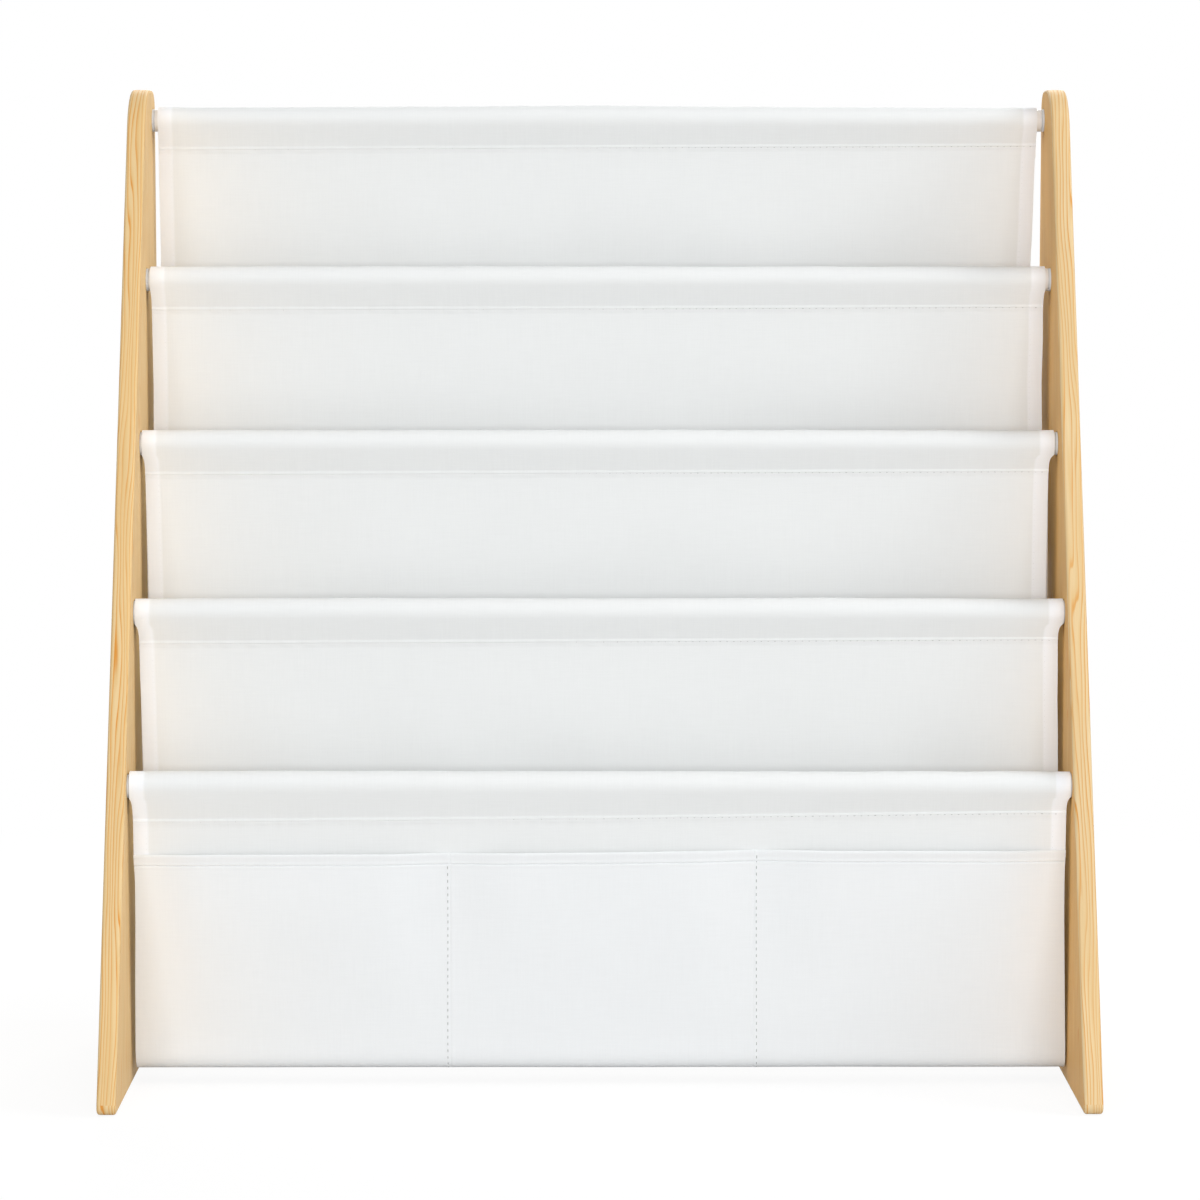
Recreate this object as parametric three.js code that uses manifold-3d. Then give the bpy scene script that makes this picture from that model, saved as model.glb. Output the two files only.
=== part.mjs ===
// Sling bookshelf for children: two pine side panels, five cloth rods on a slanted line,
// a low rear stretcher, four book slings and three flat front pockets.
// Millimetres. +X to the right, -Y to the front, +Z up. The origin lies on the floor, under the
// middle of the outline.

import * as THREE from 'three';
import { mergeVertices } from 'three/addons/utils/BufferGeometryUtils.js';
import Module from 'manifold-3d';

const wasm = await Module();
wasm.setup();

// Overall
const overallWidth = 620;
const panelHeight = 633;
const panelDepth = 300;
const panelThickness = 12;

// Outline of a side panel, seen from the side
const topDepth = 56.3;           // across the top, before its corners are rounded
const topFrontRadius = 40;
const topBackRadius = 14;
const footRadius = 5;
const edgeRound = 2;             // round-over along both faces of the panel

// Places of the rods
const topRodDrop = 20;           // below the top of the panel
const topRodInset = 14.5;        // in front of the back edge
const lowRodInset = 16.5;        // behind the slanted edge, at the lowest cloth rod
const rodDrop = 105.2;           // from each rod down to the next
const rodCount = 5;
const stretcherHeight = 60;
const stretcherInset = 25;

// Rod tube
const rodDiameter = 15;
const tubeWall = 1;

// Socket in the panel and the fastening of a rod's end
const clearance = 0.3;           // between pieces that touch on the real object
const socketDepth = 3;
const socketClearance = 0.5;     // round the rod's end
const flangeThickness = 4;       // of the end plug, partly in the socket
const plugLength = 20;           // inside the tube
const boltDiameter = 6;
const boltLength = 30;
const boltHeadDiameter = 12;
const boltHeadHeight = 3;
const boltTipChamfer = 0.6;
const hexKeyWidth = 4;
const hexKeyDepth = 2.2;
const insertDiameter = 9;
const insertLength = 12;
const insertSetback = 1;         // from the plug's inner end

// Cloth
const clothThickness = 1.2;
const sleeveSeamDrop = 27;       // from the top of a rod down to the seam of its sleeve
const seamTail = 8;              // free edge of the cloth below the seams of the first and last rod
const seamBand = 4;              // sewn part below the seams between two slings
const bagDrop = 183.2;           // from a sling's front rod down to the bottom of its bend
const bagWallInset = 4.5;        // of a sling's walls from its rods' axes, at the bottom bend
const sleeveEndGap = 2.5;        // bare rod between a sleeve and the panel
const wallDrawIn = 1.5;          // how much narrower the cloth is below the seam, on each side

// Front pockets
const pocketTopDrop = 41.9;      // from the front rod's centre down to the hemmed edge
const pocketSeamShares = [0.338, 0.667];   // of the cloth's width, the two upright seams
const pocketBulge = 8;           // how far an empty pocket stands off the sling behind it
const pocketSeamGap = 0.4;       // between two pockets at their shared seam
const bulgeFlatShare = 0.5;      // middle share of a pocket's width that stands off fully

// Fineness of the curved surfaces
const tubeSegments = 32;
const plugSegments = 16;
const boltSegments = 12;
const arcSteps = 10;
const sleeveSteps = 8;
const clothColumns = 2;
const bendRows = sleeveSteps;    // over a quarter turn, level with those of the sling inside it
const pocketColumns = 12;
const wallRows = 6;
const cutOverrun = 1;

// Worked out from the sizes above
const innerHalf = overallWidth / 2 - panelThickness;
const outerHalf = overallWidth / 2;
const frontY = -panelDepth / 2;
const backY = panelDepth / 2;

// The slanted front edge touches the rounded foot and runs to the front corner of the top
const slopeRun = panelDepth - topDepth - footRadius;
const slopeRise = panelHeight - footRadius;
const footShare = footRadius / Math.hypot(slopeRun, slopeRise);
const frontLean = Math.atan2(slopeRun, slopeRise) + Math.asin(footShare);
const footCornerAngle = Math.PI / 2 - frontLean;
const footCornerY = frontY - footRadius * (1 / Math.tan(footCornerAngle / 2) - 1);
const rodRadius = rodDiameter / 2;
const boreRadius = rodRadius - tubeWall;
const clothRadius = rodRadius + clearance + clothThickness / 2;
const layerOffset = (clothThickness + clearance) / 2;
const plugOuterX = innerHalf + socketDepth - clearance;
const plugShoulderX = plugOuterX - flangeThickness;
const plugInnerX = plugShoulderX - plugLength;

const sleeveHalfWidth = innerHalf - sleeveEndGap;
const wallHalfWidth = sleeveHalfWidth - wallDrawIn;

// Depth of the slanted front edge at a height
function frontEdgeY(z) {
  return footCornerY + z * Math.tan(frontLean);
}

const topRodY = backY - topRodInset;
const topRodZ = panelHeight - topRodDrop;
const lowRodZ = topRodZ - (rodCount - 1) * rodDrop;
const rodStep = (topRodY - frontEdgeY(lowRodZ) - lowRodInset) / (rodCount - 1);
const bendRadius = rodStep / 2 - bagWallInset;

const rods = [];
for (let i = 0; i < rodCount; i += 1) {
  rods.push({ name: `rod_${i + 1}`, y: topRodY - i * rodStep, z: topRodZ - i * rodDrop });
}
const stretcher = { name: 'rear_stretcher', y: backY - stretcherInset, z: stretcherHeight };

// Materials
const pine = { color: 0xe8c795, roughness: 0.45, metalness: 0 };
const whiteEnamel = { color: 0xf4f5f6, roughness: 0.35, metalness: 0 };
const whitePlastic = { color: 0xf1f3f6, roughness: 0.4, metalness: 0 };
const zincSteel = { color: 0xb9bcc0, roughness: 0.35, metalness: 1 };
const canvas = { color: 0xf3f4f3, roughness: 0.9, metalness: 0 };

const bookshelf = new THREE.Group();

function addMesh(name, geometry, finish, place) {
  const mesh = new THREE.Mesh(geometry, new THREE.MeshStandardMaterial(finish));
  mesh.name = name;
  if (place) place(mesh);
  bookshelf.add(mesh);
  return mesh;
}

// A closed geometry as a solid for joining and cutting
function toSolid(geometry) {
  const bare = geometry.clone();
  bare.deleteAttribute('normal');
  bare.deleteAttribute('uv');
  const merged = mergeVertices(bare);
  return new wasm.Manifold(new wasm.Mesh({
    numProp: 3,
    vertProperties: new Float32Array(merged.attributes.position.array),
    triVerts: new Uint32Array(merged.index.array),
  }));
}

function toGeometry(solid) {
  const mesh = solid.getMesh();
  const geometry = new THREE.BufferGeometry();
  geometry.setAttribute('position', new THREE.BufferAttribute(mesh.vertProperties, 3));
  geometry.setIndex(new THREE.BufferAttribute(mesh.triVerts, 1));
  geometry.computeVertexNormals();
  return geometry;
}

// A revolved piece whose axis lies along X. The profile is a list of [radius, x] for the right side.
function revolveAlongX(profile, segments) {
  const points = profile.map(([radius, x]) => new THREE.Vector2(radius, x));
  return new THREE.LatheGeometry(points, segments).rotateZ(-Math.PI / 2);
}

// A closed outline with each corner rounded: corners are [y, z, radius]
function roundedShape(corners) {
  const shape = new THREE.Shape();
  corners.forEach(([y, z, radius], i) => {
    const corner = new THREE.Vector2(y, z);
    const before = new THREE.Vector2(...corners.at(i - 1)).sub(corner).normalize();
    const after = new THREE.Vector2(...corners[(i + 1) % corners.length]).sub(corner).normalize();
    const halfAngle = Math.acos(before.dot(after)) / 2;
    const reach = radius / Math.tan(halfAngle);
    const start = corner.clone().addScaledVector(before, reach);
    const end = corner.clone().addScaledVector(after, reach);
    const middle = before.clone().add(after).normalize();
    const centre = corner.clone().addScaledVector(middle, radius / Math.sin(halfAngle));
    const from = Math.atan2(start.y - centre.y, start.x - centre.x);
    const to = Math.atan2(end.y - centre.y, end.x - centre.x);
    if (i === 0) shape.moveTo(start.x, start.y);
    else shape.lineTo(start.x, start.y);
    shape.absarc(centre.x, centre.y, radius, from, to, false);
  });
  shape.closePath();
  return shape;
}

// The hole for one rod's end, right side: socket, bolt hole and countersink, as one cutter
function rodEndCutter(rod) {
  const socketRadius = rodRadius + socketClearance;
  const holeRadius = boltDiameter / 2 + clearance;
  const headRadius = boltHeadDiameter / 2 + clearance;
  const headBottom = outerHalf - boltHeadHeight - clearance;
  const profile = [
    [0, innerHalf - cutOverrun],
    [socketRadius, innerHalf - cutOverrun],
    [socketRadius, innerHalf + socketDepth],
    [holeRadius, innerHalf + socketDepth],
    [holeRadius, headBottom],
    [headRadius, outerHalf - clearance],
    [headRadius, outerHalf + cutOverrun],
    [0, outerHalf + cutOverrun],
  ];
  return revolveAlongX(profile, plugSegments).translate(0, rod.y, rod.z);
}

// A side panel for the right side; the left one is its mirror image
function sidePanelSolid() {
  const outline = roundedShape([
    [footCornerY, 0, footRadius],
    [backY, 0, footRadius],
    [backY, panelHeight, topBackRadius],
    [backY - topDepth, panelHeight, topFrontRadius],
  ]);
  const board = new THREE.ExtrudeGeometry(outline, {
    depth: panelThickness - 2 * edgeRound,
    bevelThickness: edgeRound,
    bevelSize: edgeRound,
    bevelOffset: -edgeRound,
    bevelSegments: 2,
    curveSegments: arcSteps,
  });
  // The outline's own axes become Y and Z, and the extrusion runs along X
  const axes = new THREE.Matrix4().makeBasis(
    new THREE.Vector3(0, 1, 0),
    new THREE.Vector3(0, 0, 1),
    new THREE.Vector3(1, 0, 0),
  );
  board.applyMatrix4(axes).translate(innerHalf + edgeRound, 0, 0);
  let panel = toSolid(board);
  for (const rod of [...rods, stretcher]) {
    panel = panel.subtract(toSolid(rodEndCutter(rod)));
  }
  return panel;
}

function addSidePanels() {
  const right = sidePanelSolid();
  addMesh('side_panel_right', toGeometry(right), pine);
  addMesh('side_panel_left', toGeometry(right.mirror([1, 0, 0])), pine);
}

// Rod: an open tube between the flanges of its two plugs
function tubeGeometry() {
  const half = plugShoulderX - clearance;
  const profile = [
    [boreRadius, -half],
    [rodRadius, -half],
    [rodRadius, half],
    [boreRadius, half],
    [boreRadius, -half],
  ];
  return revolveAlongX(profile, tubeSegments);
}

// End plug: a flange that sits in the panel's socket, and a shank with a stepped bore in the tube
function plugGeometry() {
  const shankRadius = boreRadius - clearance;
  const boltHole = boltDiameter / 2 + clearance;
  const insertHole = insertDiameter / 2 + clearance;
  const insertSeat = plugInnerX + insertSetback + insertLength + clearance;
  const profile = [
    [boltHole, plugOuterX],
    [boltHole, insertSeat],
    [insertHole, insertSeat],
    [insertHole, plugInnerX],
    [shankRadius, plugInnerX],
    [shankRadius, plugShoulderX],
    [rodRadius, plugShoulderX],
    [rodRadius, plugOuterX],
    [boltHole, plugOuterX],
  ];
  return revolveAlongX(profile, plugSegments);
}

// Threaded insert in the plug's bore, shown at the bolt's outer diameter
function insertGeometry() {
  const start = plugInnerX + insertSetback;
  const bore = boltDiameter / 2 + clearance;
  const profile = [
    [bore, start],
    [insertDiameter / 2, start],
    [insertDiameter / 2, start + insertLength],
    [bore, start + insertLength],
    [bore, start],
  ];
  return revolveAlongX(profile, boltSegments);
}

// Countersunk bolt with a hexagon socket, flush with the panel's outer face
function boltGeometry() {
  const headTop = outerHalf - clearance;
  const headRadius = boltHeadDiameter / 2;
  const shaftRadius = boltDiameter / 2;
  const profile = [
    [0, headTop - boltLength],
    [shaftRadius - boltTipChamfer, headTop - boltLength],
    [shaftRadius, headTop - boltLength + boltTipChamfer],
    [shaftRadius, headTop - boltHeadHeight],
    [headRadius, headTop],
    [0, headTop],
  ];
  const cornerRadius = hexKeyWidth / 2 / Math.cos(Math.PI / 6);
  const keyLength = hexKeyDepth + cutOverrun;
  const key = new THREE.CylinderGeometry(cornerRadius, cornerRadius, keyLength, 6);
  key.rotateZ(-Math.PI / 2).translate(headTop - hexKeyDepth + keyLength / 2, 0, 0);
  return toGeometry(toSolid(revolveAlongX(profile, boltSegments)).subtract(toSolid(key)));
}

function addRods() {
  const tube = tubeGeometry();
  const ends = [
    ['plug', plugGeometry(), whitePlastic],
    ['insert', insertGeometry(), zincSteel],
    ['bolt', boltGeometry(), zincSteel],
  ];
  for (const rod of [...rods, stretcher]) {
    addMesh(rod.name, tube, whiteEnamel, (mesh) => mesh.position.set(0, rod.y, rod.z));
    for (const [piece, geometry, finish] of ends) {
      for (const side of ['left', 'right']) {
        addMesh(`${rod.name}_${piece}_${side}`, geometry, finish, (mesh) => {
          mesh.position.set(0, rod.y, rod.z);
          if (side === 'left') mesh.rotation.z = Math.PI;
        });
      }
    }
  }
}

// Height of the seam under a rod's sleeve
function seamZ(rod) {
  return rod.z + rodRadius - sleeveSeamDrop;
}

// Adds a sleeve to a path: from the seam behind the rod, over it, to the seam in front, or back
function addSleeve(path, rod, fromBehind) {
  const side = fromBehind ? 1 : -1;
  const apex = rod.z - seamZ(rod);
  const tangent = Math.acos(clothRadius / apex);
  const start = -Math.PI / 2 + side * tangent;
  const end = -Math.PI / 2 - side * tangent;
  path.lineTo(rod.y + side * layerOffset, seamZ(rod));
  path.absarc(rod.y, rod.z, clothRadius, start, end, !fromBehind);
  path.lineTo(rod.y - side * layerOffset, seamZ(rod));
}

// The middle line of one sling's cloth, seen from the side, from its upper rod to its lower one
function slingPath(upper, lower, isFirst, isLast) {
  const path = new THREE.Path();
  const bendY = (upper.y + lower.y) / 2;
  const bendZ = lower.z - bagDrop + bendRadius;
  const tail = isFirst ? seamTail : seamBand;
  path.moveTo(upper.y + layerOffset, seamZ(upper) - tail);
  addSleeve(path, upper, true);
  path.lineTo(bendY + bendRadius, bendZ);
  path.absarc(bendY, bendZ, bendRadius, 0, Math.PI, true);
  if (isLast) {
    addSleeve(path, lower, false);
    path.lineTo(lower.y + layerOffset, seamZ(lower) - seamTail);
  } else {
    path.lineTo(lower.y + layerOffset, seamZ(lower) - seamBand - clearance);
  }
  return path;
}

// Points of a path, without doubled ones
function pathPoints(path) {
  const points = [];
  for (const point of path.getPoints(sleeveSteps)) {
    const last = points.at(-1);
    if (!last || last.distanceTo(point) > clearance) points.push(point);
  }
  return points;
}

// The outline of a cloth's cross-section: its middle line moved by half a thickness to both sides
function clothOutline(middle) {
  const sides = [[], []];
  middle.forEach((point, i) => {
    const before = middle[Math.max(i - 1, 0)];
    const after = middle[Math.min(i + 1, middle.length - 1)];
    const first = point.clone().sub(before).normalize();
    const second = after.clone().sub(point).normalize();
    const along = first.add(second).normalize();
    const across = new THREE.Vector2(-along.y, along.x).multiplyScalar(clothThickness / 2);
    sides[0].push(point.clone().add(across));
    sides[1].push(point.clone().sub(across));
  });
  const outline = [...sides[0], ...sides[1].reverse()];
  return THREE.ShapeUtils.area(outline) < 0 ? outline.reverse() : outline;
}

// Half the cloth's width at a point: widest on the rods, drawn in from there to the seams
function halfWidthAt(y, z) {
  const distance = Math.min(...rods.map((rod) => Math.hypot(y - rod.y, z - rod.z)));
  const away = THREE.MathUtils.smoothstep(distance, clothRadius, sleeveSeamDrop - rodRadius);
  return THREE.MathUtils.lerp(sleeveHalfWidth, wallHalfWidth, away);
}

function slingGeometry(upper, lower, isFirst, isLast) {
  const outline = clothOutline(pathPoints(slingPath(upper, lower, isFirst, isLast)));
  const geometry = new THREE.ExtrudeGeometry(new THREE.Shape(outline), {
    depth: 1,
    steps: clothColumns,
    bevelEnabled: false,
  });
  const position = geometry.attributes.position;
  for (let i = 0; i < position.count; i += 1) {
    const y = position.getX(i);
    const z = position.getY(i);
    const share = 2 * position.getZ(i) - 1;
    position.setXYZ(i, share * halfWidthAt(y, z), y, z);
  }
  return geometry;
}

function addSlings() {
  for (let i = 0; i < rodCount - 1; i += 1) {
    const geometry = slingGeometry(rods[i], rods[i + 1], i === 0, i === rodCount - 2);
    addMesh(`sling_${i + 1}`, geometry, canvas);
  }
}

// The middle line of the pocket cloth, seen from the side: from under the bend of the lowest sling,
// round its front and up its front wall to the hem. Each point has its outward direction and its
// rise, from 0 at the top of the bend to 1 at the hem.
function pocketLine() {
  const frontRod = rods.at(-1);
  const bendY = (frontRod.y + rods.at(-2).y) / 2;
  const bendZ = frontRod.z - bagDrop + bendRadius;
  const standOff = clothThickness + clearance;
  const line = [];
  for (let j = 0; j < bendRows; j += 1) {
    const angle = -Math.PI / 2 * (1 + j / bendRows);
    const outward = new THREE.Vector2(Math.cos(angle), Math.sin(angle));
    const point = outward.clone().multiplyScalar(bendRadius + standOff);
    line.push({ point: point.add(new THREE.Vector2(bendY, bendZ)), outward, rise: 0 });
  }
  const foot = new THREE.Vector2(bendY - bendRadius - standOff, bendZ);
  const seam = new THREE.Vector2(frontRod.y - layerOffset - standOff, seamZ(frontRod));
  const hemShare = (frontRod.z - pocketTopDrop - foot.y) / (seam.y - foot.y);
  const wall = seam.clone().sub(foot).normalize();
  for (let j = 0; j <= wallRows; j += 1) {
    const rise = j / wallRows;
    const point = foot.clone().lerp(seam, rise * hemShare);
    line.push({ point, outward: new THREE.Vector2(-wall.y, wall.x), rise });
  }
  return line;
}

// One pocket as a closed sheet. Its middle line is carried from the left seam to the right one and
// is pushed out between them, most at the hem.
function pocketGeometry(left, right) {
  const line = pocketLine();
  const rows = line.length - 1;
  const stride = pocketColumns + 1;
  const layer = stride * line.length;
  const flatEdge = (1 - bulgeFlatShare) / 2;
  const positions = [];
  for (const side of [1, -1]) {
    for (const { point, outward, rise } of line) {
      for (let i = 0; i <= pocketColumns; i += 1) {
        const across = i / pocketColumns;
        const puff = THREE.MathUtils.smoothstep(Math.min(across, 1 - across), 0, flatEdge);
        const push = pocketBulge * puff * Math.sin(rise * Math.PI / 2);
        const place = point.clone().addScaledVector(outward, push + side * clothThickness / 2);
        positions.push(THREE.MathUtils.lerp(left, right, across), place.x, place.y);
      }
    }
  }
  const indices = [];
  const quad = (a, b, c, d) => indices.push(a, b, c, a, c, d);
  for (let j = 0; j < rows; j += 1) {
    for (let i = 0; i < pocketColumns; i += 1) {
      const a = j * stride + i;
      quad(a, a + 1, a + 1 + stride, a + stride);
      quad(layer + a, layer + a + stride, layer + a + 1 + stride, layer + a + 1);
    }
  }
  for (let i = 0; i < pocketColumns; i += 1) {
    const top = rows * stride + i;
    quad(i, layer + i, layer + i + 1, i + 1);
    quad(top, top + 1, layer + top + 1, layer + top);
  }
  for (let j = 0; j < rows; j += 1) {
    const first = j * stride;
    const last = first + pocketColumns;
    quad(first, first + stride, layer + first + stride, layer + first);
    quad(last, layer + last, layer + last + stride, last + stride);
  }
  const geometry = new THREE.BufferGeometry();
  geometry.setAttribute('position', new THREE.Float32BufferAttribute(positions, 3));
  geometry.setIndex(indices);
  geometry.computeVertexNormals();
  return geometry;
}

function addPockets() {
  const edges = [0, ...pocketSeamShares, 1].map((share) => (2 * share - 1) * wallHalfWidth);
  ['left', 'middle', 'right'].forEach((place, i) => {
    const left = edges[i] + pocketSeamGap / 2;
    const right = edges[i + 1] - pocketSeamGap / 2;
    addMesh(`front_pocket_${place}`, pocketGeometry(left, right), canvas);
  });
}

addSidePanels();
addRods();
addSlings();
addPockets();

export default bookshelf;
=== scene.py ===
"""Sling bookshelf for children: the looks of its pine, cloth, rods and stitching, built around the
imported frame. Every mesh is worked out with numpy in metres, +X right, -Y front, +Z up."""

import math
from functools import partial

import bpy
import numpy as np
from bpy.props import FloatProperty, FloatVectorProperty, IntProperty, PointerProperty
from mathutils.geometry import tessellate_polygon
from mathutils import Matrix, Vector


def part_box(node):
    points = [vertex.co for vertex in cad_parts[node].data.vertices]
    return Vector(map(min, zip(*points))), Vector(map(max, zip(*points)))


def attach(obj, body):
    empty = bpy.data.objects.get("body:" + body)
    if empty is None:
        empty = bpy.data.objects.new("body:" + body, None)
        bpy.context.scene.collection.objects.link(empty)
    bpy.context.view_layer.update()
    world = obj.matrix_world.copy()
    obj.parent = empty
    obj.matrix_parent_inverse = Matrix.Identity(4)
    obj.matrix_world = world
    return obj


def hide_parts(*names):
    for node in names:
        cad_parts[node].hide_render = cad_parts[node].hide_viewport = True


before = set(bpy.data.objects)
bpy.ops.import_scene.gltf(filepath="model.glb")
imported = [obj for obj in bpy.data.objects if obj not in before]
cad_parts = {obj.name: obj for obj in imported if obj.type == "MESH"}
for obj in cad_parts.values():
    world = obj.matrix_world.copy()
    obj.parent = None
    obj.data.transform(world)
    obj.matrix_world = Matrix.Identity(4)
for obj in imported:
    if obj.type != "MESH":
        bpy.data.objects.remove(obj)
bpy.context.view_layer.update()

bl_info = {
    "name": "Sling bookshelf",
    "version": (1, 0, 0),
    "blender": (4, 5, 0),
    "location": "3D View > Sidebar > Bookshelf",
    "description": "Dresses the sling bookshelf: pine sides, white rods, sewn cloth slings "
                   "and pockets",
    "category": "Object",
}

MM = 0.001
BODY = "root"
SIDES = ("left", "right")
ROD_NAMES = [f"rod_{i}" for i in range(1, 6)]
TUBE_NAMES = [*ROD_NAMES, "rear_stretcher"]
TUBE_RADIUS = 7.5  # millimetres


def linear(code):
    """An sRGB colour such as #eef0ef as linear red, green and blue, each by the sRGB curve."""
    parts = [int(code[i:i + 2], 16) / 255 for i in (1, 3, 5)]
    return tuple(c / 12.92 if c <= 0.04045 else ((c + 0.055) / 1.055) ** 2.4 for c in parts)


def length(name, description, default):
    return FloatProperty(name=name, description=description, default=default, unit="LENGTH",
                         subtype="DISTANCE", precision=5)


def power(name, description, default):
    return FloatProperty(name=name, description=description, default=default, unit="POWER")


def colour(name, description, code):
    return FloatVectorProperty(name=name, description=description, default=linear(code), size=3,
                               subtype="COLOR", min=0.0, max=1.0)


def tint(name, description, default):
    return FloatVectorProperty(name=name, description=description, default=default, size=3,
                               min=0.0, max=2.0)


# ---- What a user would change ----

class BookshelfWood(bpy.types.PropertyGroup):
    """Sizes and colours of the two side panels."""
    top_depth: length("Top depth", "Across the top of a panel, before its corners are rounded",
                      0.0563)
    top_front_radius: length("Top front radius", "Rounding of the front corner at the top", 0.040)
    top_back_radius: length("Top back radius", "Rounding of the back corner at the top", 0.014)
    foot_radius: length("Foot radius", "Rounding of both corners at the floor", 0.005)
    edge_round: length("Edge rounding", "Round-over along both faces", 0.002)
    ring_width: length("Ring width", "From one dark summer line to the next, across the edge",
                       0.0026)
    light: colour("Spring wood", "Pale wide part of a growth ring under lacquer", "#e9cc99")
    middle: colour("Ring middle", "Wood between the pale and the dark part of a ring", "#e3be83")
    dark: colour("Summer wood", "Narrow dark line of a growth ring", "#dc923a")
    right_edge: tint("Right board's edge", "Tint of its narrow sides, paler than the left board",
                     (1.0, 1.04, 1.14))
    # The broad sides' deeper orange is painted shade. It stands in for the saturated shade on the
    # right board's inner face, which faces away from the lamp at the right.
    right_face_painted_shade: tint("Right board's faces", "Tint of its broad sides, deeper than the left board",
                     (1.06, 0.92, 0.69))


class BookshelfCloth(bpy.types.PropertyGroup):
    """Sizes and colours of the slings, the pockets and their thread."""
    thickness: length("Cloth thickness", "One layer of the cloth", 0.0008)
    rod_gap: length("Gap at the rods", "Between a rod and the cloth over it", 0.00015)
    hem_width: length("Side hem", "Width of the turned hem at both sides", 0.0095)
    bend_radius: length("Bend radius", "Middle of the cloth round the bottom of a sling", 0.020)
    bag_drop: length("Sling drop", "From the front rod down to the bottom of a sling", 0.1832)
    pocket_drop: length("Pocket drop", "From the front rod down to the hemmed edge of the pockets",
                        0.0419)
    pocket_bulge: length("Pocket bulge", "How far an empty pocket stands off the sling", 0.0034)
    pocket_hem: length("Pocket hem", "From the edge of the pockets down to its stitches", 0.0072)
    stitch_pitch: length("Stitch length", "From one stitch to the next", 0.0044)
    thread_radius: length("Thread radius", "Sewing thread, drawn a little thicker than it is",
                          0.00027)
    wrinkle: length("Wrinkle height", "Broad soft waves in the walls", 0.0007)
    canvas: colour("Cloth", "One layer of the white cloth", "#edefef")
    # The doubled colour is lighter and cooler than two layers alone make it. This is painted light
    # against the shade and the warm bounce of the boards at the side hems.
    canvas_double_painted_light: colour("Doubled cloth", "Hems and pockets: two layers let less light through",
                          "#f7fafe")
    # The thread's grey is painted shade. The thread is white, and its colour stands in for the
    # shade of the hollow where it lies.
    thread: colour("Thread", "White thread, greyer than the cloth, as it lies in its own hollow",
                   "#b2b4b3")


class BookshelfMetal(bpy.types.PropertyGroup):
    """Sizes and colours of the rods and their fastenings."""
    tube_radius: length("Tube radius", "Outside of the rods", TUBE_RADIUS * MM)
    tube_wall: length("Tube wall", "Wall of the rods", 0.001)
    segments: IntProperty(name="Segments", description="Faces round a rod", default=64, min=24,
                          max=128)
    enamel: colour("Enamel", "Powder coat of the rods", "#eff0f1")
    plastic: colour("Plug plastic", "Moulded end plugs, slightly bluish", "#e9edf2")
    zinc: colour("Zinc", "Bright zinc on the bolts and inserts", "#c3c6cb")


class BookshelfStage(bpy.types.PropertyGroup):
    """Camera, lamps and floor."""
    lens: FloatProperty(name="Lens", description="Focal length of the camera on a 36 mm sensor",
                        default=123.075, unit="CAMERA")
    top_power: power("Top lamp", "Lamp over the object", 9.0)
    side_power: power("Side lamp", "Lamp beside the object at the right", 41.0)
    front_power: power("Front lamp", "Broad lamp behind the camera", 67.0)
    back_power: power("Back lamp", "Lamp behind the object", 50.0)
    sky: FloatProperty(name="Sky", description="Strength of the room's light on the object",
                       default=0.315, min=0.0, max=2.0)
    floor: colour("Floor", "Matt floor, as it lights the object", "#c6c6c6")


SETTINGS = {
    "bookshelf_wood": BookshelfWood,
    "bookshelf_cloth": BookshelfCloth,
    "bookshelf_metal": BookshelfMetal,
    "bookshelf_stage": BookshelfStage,
}


# ---- Meshes ----

def smoothstep(value, low, high):
    """0 below low, 1 above high, and 3t^2 - 2t^3 between them."""
    t = np.clip((value - low) / (high - low), 0, 1)
    return t * t * (3 - 2 * t)


def bell(value, centre, width):
    """A Gaussian bump: 1 at the centre and 1/e at one width from it."""
    return np.exp(-((value - centre) / width) ** 2)


def waves(x, s, seed, longest, shortest, count=9):
    """Soft noise from -1 to 1: the mean of sine waves in seeded directions. longest and shortest
    are their wavelengths, and the long ones are the highest."""
    rng = np.random.default_rng(seed)
    total = np.zeros(np.broadcast(x, s).shape)
    weights = 0.0
    for wavelength in np.geomspace(longest, shortest, count):
        angle, phase = rng.uniform(0, math.pi), rng.uniform(0, 2 * math.pi)
        weight = (wavelength / longest) ** 0.8
        along = x * math.cos(angle) + s * math.sin(angle)
        total = total + weight * np.sin(2 * math.pi * along / wavelength + phase)
        weights += weight ** 2
    return total / math.sqrt(weights)


def unit(vectors):
    """Each vector over its own length."""
    return vectors / np.linalg.norm(vectors, axis=-1, keepdims=True)


def distances(path):
    """How far along a path each of its points lies."""
    return np.concatenate([[0], np.cumsum(np.linalg.norm(np.diff(path, axis=0), axis=1))])


def place_in(values, value):
    """Where a value lies in a rising row of values, as a fractional number."""
    return np.interp(value, values, np.arange(len(values)))


def grid_quads(rows, columns, wrap=False, closed=False):
    """Quads of a grid of points numbered row by row. wrap joins the last column to the first, and
    closed the last row."""
    row = np.arange(rows if closed else rows - 1)[:, None] * columns
    column = np.arange(columns if wrap else columns - 1)[None, :]
    below, ahead = (row + columns) % (rows * columns), (column + 1) % columns
    quads = np.stack([row + column, row + ahead, below + ahead, below + column], axis=-1)
    return quads.reshape(-1, 4)


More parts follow.
